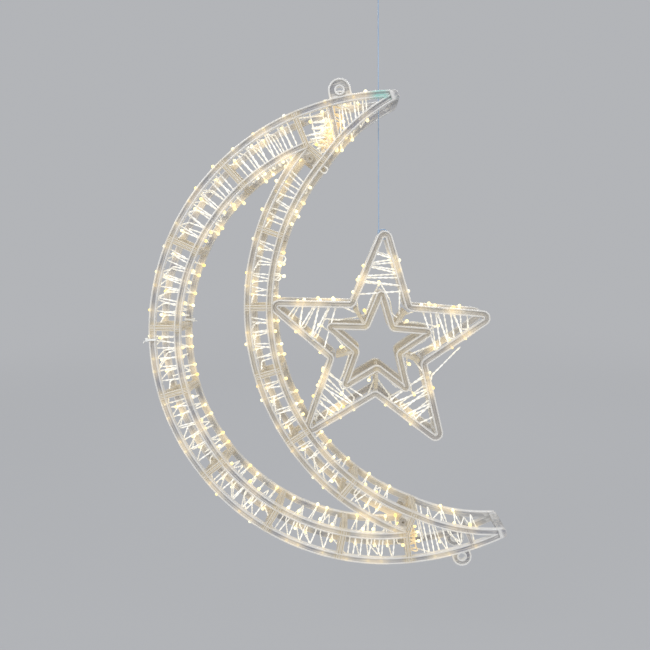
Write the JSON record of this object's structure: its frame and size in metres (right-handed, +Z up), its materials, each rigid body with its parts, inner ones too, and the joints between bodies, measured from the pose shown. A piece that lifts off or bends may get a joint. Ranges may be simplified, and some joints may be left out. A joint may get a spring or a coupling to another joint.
{
  "type": "lighted crescent ornament",
  "caption": "Hanging crescent of clear moulded frame sections laced with strings of warm lamps, with a laced star tied in its hollow and a hanging line.",
  "frame": {"origin": "on the axis of the hole through the two upper hanging eyes, half way between the front and back faces", "axes": "+Z up, +X to the right as seen from the front, +Y away from the viewer, so the face of the ornament looks along -Y"},
  "size_m": [0.4458, 0.0666, 0.7052],
  "materials": {
    "clear_moulding": "clear",
    "wire": "clear sleeve",
    "lamp": "lit",
    "tie": "satin",
    "line": "clear"
  },
  "bodies": {
    "root": {"upper_horn_front": "clear_moulding", "upper_horn_back": "clear_moulding", "lower_horn_front": "clear_moulding", "lower_horn_back": "clear_moulding", "outer_1_front": "clear_moulding", "outer_2_front": "clear_moulding", "outer_3_front": "clear_moulding", "outer_4_front": "clear_moulding", "outer_5_front": "clear_moulding", "outer_6_front": "clear_moulding", "outer_7_front": "clear_moulding", "outer_8_front": "clear_moulding", "outer_1_back": "clear_moulding", "outer_2_back": "clear_moulding", "outer_3_back": "clear_moulding", "outer_4_back": "clear_moulding", "outer_5_back": "clear_moulding", "outer_6_back": "clear_moulding", "outer_7_back": "clear_moulding", "outer_8_back": "clear_moulding", "inner_1_front": "clear_moulding", "inner_2_front": "clear_moulding", "inner_3_front": "clear_moulding", "inner_4_front": "clear_moulding", "inner_5_front": "clear_moulding", "inner_6_front": "clear_moulding", "inner_1_back": "clear_moulding", "inner_2_back": "clear_moulding", "inner_3_back": "clear_moulding", "inner_4_back": "clear_moulding", "inner_5_back": "clear_moulding", "inner_6_back": "clear_moulding", "star_ring_front": "clear_moulding", "star_ring_back": "clear_moulding", "star_core_front": "clear_moulding", "star_core_back": "clear_moulding", "outer_string": "wire", "inner_string": "wire", "star_string": "wire", "outer_lamps": "lamp", "inner_lamps": "lamp", "star_lamps": "lamp", "star_tie_upper": "tie", "star_tie_lower": "tie", "rail_ties": "tie", "hang_knot": "line", "hang_line": "line", "hang_loop": "line"}
  },
  "joints": []
}
